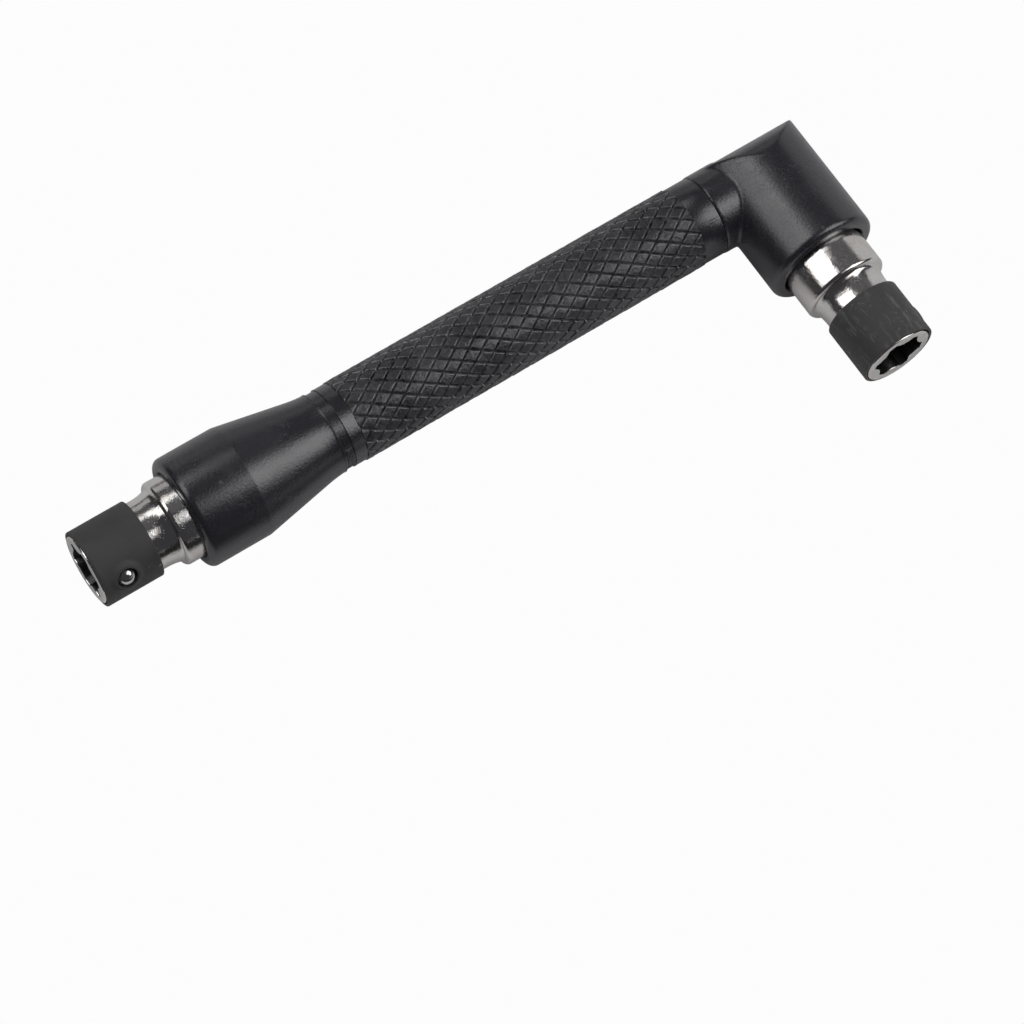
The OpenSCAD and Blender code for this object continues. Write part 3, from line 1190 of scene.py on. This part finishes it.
@dataclass
class Grip:
    """The knurled grip with its ring groove and plain collars.

    Attributes:
        gap: How far the core stays clear of the bell's end.
        overlap: How far the core and the knurl go into each other.
        core_r: Radius of the core under the knurl.
        steps: Places of a diamond's rows, as shares of its side.
        wall: A diamond's edge, as share of its side and share of the knurl's depth.
        waver: How much the knurl's height wanders.
        waver_pitch: Pitch of that wander, per millimetre.
        flat_area: Smallest face of the knurl's flats, in square millimetres.
        gate_span: Where the gate mark lies round the grip, in degrees.
        gate_cells: Its faces across and along.
        gate_fade: How quickly it rises at its sides and its ends.
        gate_lumps: Pitch of its lumps across and along.
        gate_sink: How far its edge lies in the groove's floor.
        gate_rise: Its mean height over that edge.
        gate_lump: Height of its lumps.
        gate_share: Half its width as a share of the groove's.
        dash_angle: Where the pair of dashes is round the grip, in degrees.
        dash_size: Height, width and length of a dash.
    """

    handle: Handle
    groove_w: float = 1.4
    groove_r: float = 5.675
    collar_r: float = 5.8
    collar_foot: float = 0.2
    collar_edge: float = 0.04
    end_edge: float = 0.1
    front_collar_len: float = 1.9
    rear_collar_len: float = 3.6
    spigot_r: float = 4.6
    spigot_len: float = 6.4
    gap: float = 0.01
    overlap: float = 0.02
    core_r: float = 5.2
    around: int = 160
    knurl_r: float = 5.95
    knurl_depth: float = 0.36
    count_round: int = 18
    count_along: int = 18
    steps: tuple[float, ...] = (0.0, 0.05, 0.11, 0.18, 0.82, 0.89, 0.95, 1.0)
    wall: tuple[Span, ...] = ((0.0, -0.15), (0.05, 0.3), (0.11, 0.76), (0.18, 1.0))
    waver: float = 0.05
    waver_pitch: float = 2.2
    flat_area: float = 0.5
    gate_span: Span = (148.0, 190.0)
    gate_cells: tuple[int, int] = (16, 56)
    gate_fade: Span = (6.0, 12.0)
    gate_lumps: Span = (2.6, 9.0)
    gate_sink: float = 0.06
    gate_rise: float = 0.14
    gate_lump: float = 0.09
    gate_share: float = 0.42
    gate_thick: float = 0.25
    dash_angle: float = 214.0
    dash_gap: float = 0.42
    dash_size: tuple[float, float, float] = (0.14, 0.13, 1.4)
    dash_lift: float = 0.02
    dash_edge: float = 0.03
    dash_station: float = 97.9

    @property
    def knurl_start(self) -> float:
        """Station where the knurl begins."""
        return self.handle.grip_start + self.groove_w + self.front_collar_len

    @property
    def knurl_end(self) -> float:
        """Station where the knurl ends."""
        return self.handle.elbow_start - self.rear_collar_len

    def rise(self, away: float) -> float:
        """Height of a diamond's edge.

        Args:
            away: Distance from the nearest groove, as a share of its side.

        Returns:
            The height there, as a share of the knurl's depth.
        """
        for (low, first), (high, second) in zip(self.wall, self.wall[1:]):
            if away < high:
                return first + (second - first) * (away - low) / (high - low)
        return 1.0

    def diamond(self, bm: BMesh, station: float, angle: float, length: float) -> None:
        """Add one diamond of the knurl.

        Args:
            bm: The mesh to add it to.
            station: Place of its centre along the grip.
            angle: Place of its centre round the grip, in radians.
            length: Its length.
        """
        turn = math.tau / self.count_round
        cells = len(self.steps) - 1
        made = bmesh.ops.create_grid(
            bm, x_segments=cells, y_segments=cells, size=cells / 2.0
        )["verts"]
        for vert in made:
            u = self.steps[round(vert.co.x + cells / 2.0)]
            v = self.steps[round(vert.co.y + cells / 2.0)]
            away = min(u, 1.0 - u, v, 1.0 - v)
            radius = self.knurl_r - self.knurl_depth * (1.0 - self.rise(away))
            around = angle + (u - v) * turn / 2.0
            vert.co = (
                radius * math.cos(around),
                radius * math.sin(around),
                station + (u + v - 1.0) * length / 2.0,
            )

    def skin(self) -> BMesh:
        """Make the knurl's surface, a little longer than the knurl.

        Returns:
            The open surface.
        """
        bm = bmesh.new()
        length = (self.knurl_end - self.knurl_start) / self.count_along
        turn = math.tau / self.count_round
        quarter = math.pi / 2.0
        self.diamond(bm, self.knurl_start, quarter, length)
        self.diamond(bm, self.knurl_start + length / 2.0, quarter + turn / 2.0, length)
        bmesh.ops.spin(
            bm,
            geom=everything(bm),
            cent=CENTRE,
            axis=Z_AXIS,
            angle=math.tau - turn,
            steps=self.count_round - 1,
            use_duplicate=True,
        )
        bmesh.ops.remove_doubles(bm, verts=bm.verts, dist=KNIT_MM)
        ring = everything(bm)
        for step in range(1, self.count_along + 1):
            copy = bmesh.ops.duplicate(bm, geom=ring)["geom"]
            bmesh.ops.translate(
                bm, vec=(0.0, 0.0, length * step), verts=verts_of(copy)
            )
        bmesh.ops.remove_doubles(bm, verts=bm.verts, dist=KNIT_MM)
        for vert in bm.verts:
            wander = noise.noise(vert.co * self.waver_pitch) - 0.5
            vert.co += outwards(vert) * self.waver * wander
        return bm

    def knurl(self) -> BMesh:
        """Make the knurl as a closed tube.

        Returns:
            The knurl.
        """
        bm = self.skin()
        for station, outward in ((self.knurl_start, -1.0), (self.knurl_end, 1.0)):
            bmesh.ops.bisect_plane(
                bm,
                geom=everything(bm),
                dist=CUT_MM,
                plane_co=(0.0, 0.0, station),
                plane_no=(0.0, 0.0, outward),
                clear_outer=True,
            )
        walls = bmesh.ops.extrude_edge_only(bm, edges=open_edges(bm))["geom"]
        for vert in verts_of(walls):
            foot = outwards(vert) * self.core_r
            vert.co = (foot.x, foot.y, vert.co.z)
        bmesh.ops.bridge_loops(bm, edges=open_edges(bm))
        bmesh.ops.recalc_face_normals(bm, faces=bm.faces)
        return bm

    def core(self) -> BMesh:
        """Make the plain body with the ring groove and the collars.

        Returns:
            The body.
        """
        shared = self.handle
        start, end = shared.grip_start, shared.elbow_start
        collar = start + self.groove_w
        first, last = self.knurl_start + self.overlap, self.knurl_end - self.overlap
        under = self.core_r + self.overlap
        outline = [
            Corner(start - self.spigot_len, self.spigot_r),
            Corner(start - self.gap, self.spigot_r),
            Corner(start - self.gap, self.groove_r),
            Corner(collar, self.groove_r),
            Corner(collar, self.collar_r + shared.burr, shared.burr, 3),
            Corner(collar + self.collar_foot, self.collar_r),
            Corner(first, self.collar_r, self.collar_edge, 2),
            Corner(first, under),
            Corner(last, under),
            Corner(last, self.collar_r, self.collar_edge, 2),
            Corner(end, self.collar_r, self.end_edge, 3),
            Corner(end, shared.bar_r),
            Corner(start - self.spigot_len, shared.bar_r),
        ]
        return turned(outline, self.around, closed=True)

    def gate_mark(self) -> BMesh:
        """Make the rough patch in the ring groove where the mould was fed.

        Returns:
            The patch.
        """
        bm = bmesh.new()
        across, along = self.gate_cells
        bmesh.ops.create_grid(bm, x_segments=across, y_segments=along, size=1.0)
        first, last = (math.radians(angle) for angle in self.gate_span)
        middle = self.handle.grip_start + self.groove_w / 2.0
        side_fade, end_fade = self.gate_fade
        for vert in bm.verts:
            x, y = vert.co.x, vert.co.y
            angle = (first + last) / 2.0 + y * (last - first) / 2.0
            edge = min(1.0, side_fade * (1.0 - abs(x)), end_fade * (1.0 - abs(y)))
            spot = Vector((x * self.gate_lumps[0], y * self.gate_lumps[1], 0.0))
            lump = self.gate_lump * noise.noise(spot)
            radius = self.groove_r - self.gate_sink + edge * (self.gate_rise + lump)
            vert.co = (
                -radius * math.sin(angle),
                radius * math.cos(angle),
                middle + x * self.groove_w * self.gate_share,
            )
        bmesh.ops.recalc_face_normals(bm, faces=bm.faces)
        bmesh.ops.solidify(bm, geom=bm.faces[:], thickness=self.gate_thick)
        return bm

    def dashes(self) -> BMesh:
        """Make the two short raised dashes on the rear collar.

        Returns:
            Both dashes.
        """
        bm = bmesh.new()
        reach = self.collar_r + self.dash_lift
        size = Matrix.Diagonal((*self.dash_size, 1.0))
        for side in (-0.5, 0.5):
            angle = math.radians(self.dash_angle) + side * self.dash_gap / reach
            spot = (reach * math.cos(angle), reach * math.sin(angle), self.dash_station)
            aim = Matrix.Translation(spot) @ Matrix.Rotation(angle, 4, "Z")
            bmesh.ops.create_cube(bm, size=1.0, matrix=aim @ size)
        rounded(bm, bm.edges[:], self.dash_edge, 2)
        return bm

    def build(self, plain: Material, rough: Material, rim_wear_and_highlight: Material) -> list[Piece]:
        """Build the grip.

        Args:
            plain: Finish of the collars and the groove.
            rough: Finish of the knurl and the gate mark.
            rim_wear_and_highlight: Finish of the rims that run round the knurl's flats,
            lighter than the flats as a painted highlight, with their wear.

        Returns:
            The body, the knurl and the two marks.
        """
        parts = (
            ("grip_body", self.core(), plain),
            ("grip_knurl", self.knurl(), rough),
            ("grip_gate_mark", self.gate_mark(), rough),
            ("grip_dashes", self.dashes(), plain),
        )
        pieces = [
            place(name, bm, ALONG_ARM, finish, ["grip"], sharp=50.0)
            for name, bm, finish in parts
        ]
        knurl = pieces[1]
        # The knurl's small edge faces take the rims' finish, whose lighter colour is a
        # painted highlight.
        knurl.data.materials.append(rim_wear_and_highlight)
        for face in knurl.data.polygons:
            face.material_index = int(face.area < self.flat_area * MM * MM)
        tops = knurl.modifiers.new("flat_tops", "WEIGHTED_NORMAL")
        tops.keep_sharp = True
        return pieces


@dataclass
class ElbowHead:
    """The moulded head that turns the corner.

    Attributes:
        arch_reach: How far the head reaches past the long arm's axis.
        arch_h: Height of the arched part.
        arch_half: Half the arch's length, as a share of the head's radius.
        flank_r: Radius of the arch's flanks.
        margin: How far the arch stands outside the round bar.
        spare: How far the bar and the arch reach past each other.
        collar_runout: Distance from the short arm's axis where the collar narrows.
        flank_steps: Number of faces in a flank's curve.
        crest_steps: Number of faces in the crest's curve.
        voxel: Size of the cells that the joined shape is made of anew.
        smoothing: Number of passes that soften its inner corners.
    """

    handle: Handle
    radius: float = 8.2
    arch_reach: float = 5.35
    arch_h: float = 6.1
    arch_half: float = 1.6
    flank_r: float = 4.9
    flank_steps: int = 24
    crest_steps: int = 48
    margin: float = 0.05
    spare: float = 2.0
    collar_r: float = 5.9
    collar_edge: float = 0.12
    collar_runout: float = 5.5
    cone_len: float = 3.0
    cone_end_r: float = 5.0
    bore_depth: float = 6.1
    tool_out: float = 1.0
    tool_flare: float = 0.3
    bar_around: int = 180
    around: int = 160
    voxel: float = 0.125
    smoothing: int = 12

    def arch(self) -> BMesh:
        """Make the prism with the head's arched far end, along the long arm.

        Returns:
            The prism.
        """
        half_w = self.radius + self.margin
        foot = self.arch_reach - self.arch_h
        flank = half_w - self.flank_r
        crest_r = (flank**2 + self.arch_h**2 - self.flank_r**2) / (
            2.0 * (self.arch_h - self.flank_r)
        )
        crest_y = self.arch_reach - crest_r
        lean = math.atan2(foot - crest_y, flank)
        half_len = self.radius * self.arch_half
        side = self.handle.long_arm - half_len
        low = -self.handle.head_drop - self.spare
        bm = bmesh.new()
        first = bm.verts.new((side, low, half_w))
        point = bm.verts.new((side, foot, half_w))
        bm.edges.new((first, point))
        for y, z, angle, steps in (
            (foot, flank, lean, self.flank_steps),
            (crest_y, 0.0, math.pi - 2.0 * lean, self.crest_steps),
            (foot, -flank, lean, self.flank_steps),
        ):
            made = bmesh.ops.spin(
                bm,
                geom=[point],
                cent=(side, y, z),
                axis=(-1.0, 0.0, 0.0),
                angle=angle,
                steps=steps,
            )
            point = verts_of(made["geom_last"])[0]
        last = bm.verts.new((side, low, -half_w))
        bm.edges.new((point, last))
        bm.edges.new((last, first))
        bmesh.ops.remove_doubles(bm, verts=bm.verts, dist=WELD_MM)
        face = bmesh.ops.contextual_create(bm, geom=bm.edges[:])["faces"]
        moved = bmesh.ops.extrude_face_region(bm, geom=face)["geom"]
        bmesh.ops.translate(bm, vec=(2.0 * half_len, 0.0, 0.0), verts=verts_of(moved))
        bmesh.ops.recalc_face_normals(bm, faces=bm.faces)
        return bm

    def bar(self) -> BMesh:
        """Make the round bar along the short arm, with a rounded mouth.

        Returns:
            The bar.
        """
        shared = self.handle
        top = shared.head_drop + self.arch_reach + self.spare
        outline = [
            Corner(0.0, 0.0),
            Corner(0.0, self.radius, shared.mouth_round, 8),
            Corner(top, self.radius),
            Corner(top, 0.0),
        ]
        bm = turned(outline, self.bar_around)
        return transformed(bm, shared.down_arm(shared.head_drop))

    def collar(self) -> BMesh:
        """Make the collar that meets the grip and runs out in the head.

        Returns:
            The collar.
        """
        start = self.handle.elbow_start
        end = self.handle.long_arm - self.collar_runout
        outline = [
            Corner(start, 0.0),
            Corner(start, self.collar_r, self.collar_edge, 3),
            Corner(end, self.collar_r),
            Corner(end + self.cone_len, self.cone_end_r),
            Corner(end + self.cone_len, 0.0),
        ]
        return transformed(turned(outline, self.around), ALONG_ARM)

    def mouth_tool(self) -> BMesh:
        """Make the tool that opens the mouth.

        Returns:
            The tool.
        """
        shared = self.handle
        outline = [
            Corner(-self.tool_out, 0.0),
            Corner(-self.tool_out, shared.ring_r + self.tool_flare),
            Corner(0.0, shared.ring_r + shared.ring_edge),
            Corner(shared.ring_edge, shared.ring_r),
            Corner(shared.ring_depth, shared.bore_r),
            Corner(self.bore_depth, shared.bore_r),
            Corner(self.bore_depth, 0.0),
        ]
        bm = turned(outline, self.around)
        return transformed(bm, shared.down_arm(shared.head_drop))

    def build(self, material: Material) -> Piece:
        """Build the head.

        Args:
            material: Its finish.

        Returns:
            The head.
        """
        bm = combined(self.bar(), self.arch(), "INTERSECT")
        bm = combined(bm, self.collar(), "UNION")
        solid = temporary(bm, "head_solid")
        remesh = solid.modifiers.new("skin", "REMESH")
        remesh.mode = "VOXEL"
        remesh.voxel_size = self.voxel
        bm = applied(solid)
        for _ in range(self.smoothing):
            bmesh.ops.smooth_vert(
                bm, verts=bm.verts, factor=0.5, use_axis_x=True, use_axis_y=True,
                use_axis_z=True,
            )
        bm = combined(bm, self.mouth_tool(), "DIFFERENCE")
        return place(
            "elbow_shell", bm, Matrix.Identity(4), material,
            ["elbow_head"], sharp=40.0,
        )


# ------------------------------------------------------------------------ studio


WHITE: Colour = (1.0, 1.0, 1.0)


def put_up(name: str, data: Any, spot: Vector, aim: Quaternion, turn: float) -> Piece:
    """Put a light or a camera in the scene.

    Args:
        name: Its name.
        data: Its light or camera data.
        spot: Its place, in metres.
        aim: Its direction.
        turn: How far it is turned in its own plane, in degrees.

    Returns:
        The new object.
    """
    made = bpy.data.objects.new(name, data)
    bpy.context.scene.collection.objects.link(made)
    made.location = spot
    made.rotation_mode = "QUATERNION"
    made.rotation_quaternion = aim @ rotation(turn, "Z").to_quaternion()
    return made


@dataclass(frozen=True)
class SoftLight:
    """One soft light, aimed at the middle of the part.

    Attributes:
        name: Its name.
        toward: Direction from the part to the light.
        width: Its width, in metres.
        height: Its height, in metres.
        glow: How bright its face looks; 1 is the white of the picture.
        turn: How far it is turned in its own plane, in degrees.
    """

    name: str
    toward: tuple[float, float, float]
    width: float
    height: float
    glow: float
    turn: float = 0.0

    def build(self, middle: Vector, distance: float) -> None:
        """Put the light up.

        Args:
            middle: The middle of the part, in metres.
            distance: Distance of the light from it, in metres.
        """
        data = bpy.data.lights.new(self.name, "AREA")
        data.shape = "RECTANGLE"
        data.size, data.size_y = self.width, self.height
        data.energy = self.glow * math.pi * self.width * self.height
        toward = Vector(self.toward).normalized()
        spot = middle + toward * distance
        aim = toward.to_track_quat("Z", "Y")
        put_up(self.name, data, spot, aim, self.turn).visible_camera = False


@dataclass
class Studio:
    """Floor, lights, surroundings and the camera at the photograph's angle.

    Attributes:
        target: Point of the plane through the arms' axes that the camera looks
            at, in millimetres.
        distance: Distance of the camera from it, in millimetres.
        azimuth: Direction of the camera round the part, in degrees.
        elevation: Height of the camera above the horizon, in degrees.
        roll: Turn of the picture, in degrees.
        lens: Focal length, in millimetres.
        floor_gap: How far the floor lies under the part, in metres.
        floor_greys: The floor's two shades of grey where it is light.
        floor_dark: Its colour where it is dark, painted shade in its reflections.
        floor_white: How bright it looks to the camera.
        floor_glow: How much it shines by itself where it is light, a painted glow.
        lit_left: From where to where along X it turns light at the part's left end,
            in metres. This holds for the next two as well.
        lit_right: The same along the long arm, for the floor before the tool.
        lit_far: The same along Y, where the floor runs back under the tool.
        light_distance: Distance of the lights from the part, in metres.
        lights: The soft lights whose reflections the photograph shows.
    """

    target: tuple[float, float, float] = (51.78, -23.09, 0.0)
    distance: float = 500.77
    azimuth: float = -38.458
    elevation: float = 65.312
    roll: float = -5.354
    lens: float = 132.9
    sensor: float = 36.0
    clip: Span = (0.01, 20.0)
    floor_size: float = 6.0
    floor_gap: float = 0.00002
    floor_glow: float = 0.05
    floor_greys: Span = (0.84, 0.88)
    floor_dark: float = 0.03
    floor_white: float = 0.98
    lit_left: Span = (-0.05, -0.015)
    lit_right: Span = (0.045, 0.08)
    lit_far: Span = (-0.034, -0.016)
    light_distance: float = 0.9
    lights: tuple[SoftLight, ...] = (
        SoftLight("left_softbox", (-0.58, 0.35, 0.74), 0.32, 0.88, 1.9, 25.0),
        SoftLight("upper_softbox", (-0.12, 0.51, 0.85), 0.4, 0.27, 1.3),
        SoftLight("right_softbox", (0.57, -0.43, 0.7), 0.54, 0.72, 2.2),
        SoftLight("front_card", (0.14, -0.44, 0.88), 0.24, 0.38, 0.66),
        SoftLight("top_softbox", (0.19, 0.56, 0.8), 0.16, 0.16, 1.1),
        SoftLight("side_card", (0.93, 0.3, 0.22), 0.6, 0.6, 0.45),
        SoftLight("back_card", (0.25, 0.93, 0.28), 0.9, 0.32, 0.38),
        SoftLight("overhead_fill", (0.25, 0.35, 0.9), 1.3, 1.0, 0.06),
    )

    def back(self) -> Vector:
        """Find where the camera is, seen from its target.

        Returns:
            The direction from the target to the camera.
        """
        turn, rise = math.radians(self.azimuth), math.radians(self.elevation)
        level = math.cos(rise)
        return Vector((math.sin(turn) * level, -math.cos(turn) * level, math.sin(rise)))

    def build_camera(self) -> None:
        """Set the camera up where the photograph was taken from."""
        data = bpy.data.cameras.new("photo_camera")
        data.lens = self.lens
        data.sensor_width = data.sensor_height = self.sensor
        data.clip_start, data.clip_end = self.clip
        back = self.back()
        spot = (Vector(self.target) + back * self.distance) * MM
        aim = (-back).to_track_quat("-Z", "Y")
        camera = put_up("photo_camera", data, spot, aim, -self.roll)
        bpy.context.scene.camera = camera

    def build_floor(self) -> None:
        """Lay a plain pale floor under the part."""
        half = self.floor_size / 2.0
        level = CAD_BOX[0].z - self.floor_gap
        bm = bmesh.new()
        bmesh.ops.create_grid(bm, x_segments=1, y_segments=1, size=half)
        bmesh.ops.translate(bm, vec=(0.0, 0.0, level), verts=bm.verts)
        floor = temporary(bm, "floor")
        floor.data.materials.append(self.floor_material())

    def floor_material(self) -> Material:
        """Make the floor white to the camera; in reflections it is painted light with a
        faint glow, and painted shade at the part's left end and in front of the long arm.

        Returns:
            The floor's material.
        """
        material, sheet, shader, spot = Finish("floor_pale").start()
        split = sheet.add("SeparateXYZ", Vector=spot)
        # Painted light and shade in reflections: 1 where the floor is painted light, 0
        # where it is painted dark.
        beyond = sheet.calc(
            "MAXIMUM",
            sheet.stretch(split.outputs["X"], self.lit_right),
            sheet.stretch(split.outputs["Y"], self.lit_far),
        )
        left = sheet.stretch(split.outputs["X"], self.lit_left)
        lit = sheet.calc("MULTIPLY", left, beyond)
        cloud = sheet.add("TexNoise", Vector=spot, Scale=14.0, Detail=2.0)
        greys = [scaled(WHITE, level) for level in self.floor_greys]
        bright = sheet.tint(cloud.outputs["Fac"], *greys)
        # Painted glow, only where the floor is painted light.
        glow = sheet.calc("MULTIPLY", lit, self.floor_glow)
        for name, value in (
            ("Base Color", sheet.tint(lit, scaled(WHITE, self.floor_dark), bright)),
            ("Roughness", 0.9),
            ("Specular IOR Level", 0.1),
            ("Emission Color", (*WHITE, 1.0)),
            ("Emission Strength", glow),
        ):
            sheet.feed(shader.inputs[name], value)
        white = sheet.add("Emission", Color=(*WHITE, 1.0), Strength=self.floor_white)
        seen = sheet.add("LightPath").outputs["Is Camera Ray"]
        mixed = sheet.add("MixShader", Fac=seen)
        sheet.feed(mixed.inputs[1], shader.outputs["BSDF"])
        sheet.feed(mixed.inputs[2], white.outputs["Emission"])
        output = sheet.tree.get_output_node("ALL")
        sheet.feed(output.inputs["Surface"], mixed.outputs["Shader"])
        return material

    def build_world(self) -> None:
        """Surround the part with dim, even light and a pale backdrop."""
        world = bpy.data.worlds.new("studio_world")
        bpy.context.scene.world = world
        world.use_nodes = True
        sheet = NodeSheet(world.node_tree)
        seen = sheet.add("LightPath").outputs["Is Camera Ray"]
        colour = sheet.tint(seen, (0.045, 0.045, 0.05), scaled(WHITE, 0.95))
        back = sheet.add("Background", Color=colour, Strength=1.0)
        sheet.add("OutputWorld", Surface=back.outputs["Background"])

    def build(self) -> None:
        """Build the studio."""
        low, high = CAD_BOX
        middle = (low + high) / 2.0
        self.build_camera()
        self.build_floor()
        self.build_world()
        for light in self.lights:
            light.build(middle, self.light_distance)
        bpy.context.scene.view_settings.view_transform = "Standard"


def main() -> None:
    """Build the studio and every piece, and report each one."""
    logging.basicConfig(level=logging.INFO, format="%(name)s: %(message)s")
    for build_group in (build_grain, build_scuffs, build_specks):
        build_group()
    Studio().build()

    chrome = BrightMetal("bright_chrome").build()
    hole = BrightMetal(
        "dark_hole", colour=(0.1, 0.1, 0.1), stain_colour=(0.05, 0.05, 0.05),
        roughness=0.3,
    ).build()
    steel = BrightMetal("ball_steel", colour=(0.8, 0.8, 0.8), roughness=0.05).build()
    bar = BrightMetal("drawn_bar", colour=(0.42, 0.42, 0.43), roughness=0.32).build()
    rubber = {
        Arm.STRAIGHT: ElasticRubber("sleeve_rubber_plain", scuff_rarity=0.62).build(),
        Arm.ANGLE: ElasticRubber("sleeve_rubber_scuffed", smear=0.45).build(),
    }
    plastic = SatinPlastic("satin_plastic").build()
    matte = SatinPlastic("matte_plastic", roughness=0.26).build()
    knurled = SatinPlastic(
        "knurled_plastic", colour=(0.021, 0.0205, 0.025), roughness=0.38,
        grain_mm=0.06, grain=2600.0, mottle=0.75,
    ).build()
    # Rims lighter than the flats: painted highlight along the knurl's edges; their scuffs
    # and specks are wear.
    rims = SatinPlastic(
        "knurl_rims", colour=(0.08, 0.079, 0.085), worn_colour=(0.25, 0.25, 0.25),
        roughness=0.16, grain_mm=0.03, grain=3200.0, mottle=0.9,
    ).build()

    shared = Handle()
    for arm in Arm:
        Socket(shared, arm).build(chrome, hole)
        Sleeve(shared, arm).build(rubber[arm])
        DetentBall(shared, arm).build(steel)
    EndBell(shared).build(matte)
    Grip(shared).build(plastic, knurled, rims)
    ElbowHead(shared).build(plastic)

    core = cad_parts["core_bar"]
    core.data.materials.clear()
    core.data.materials.append(bar)
    LOG.info("core_bar keeps its solid")


if __name__ == "__main__":
    main()
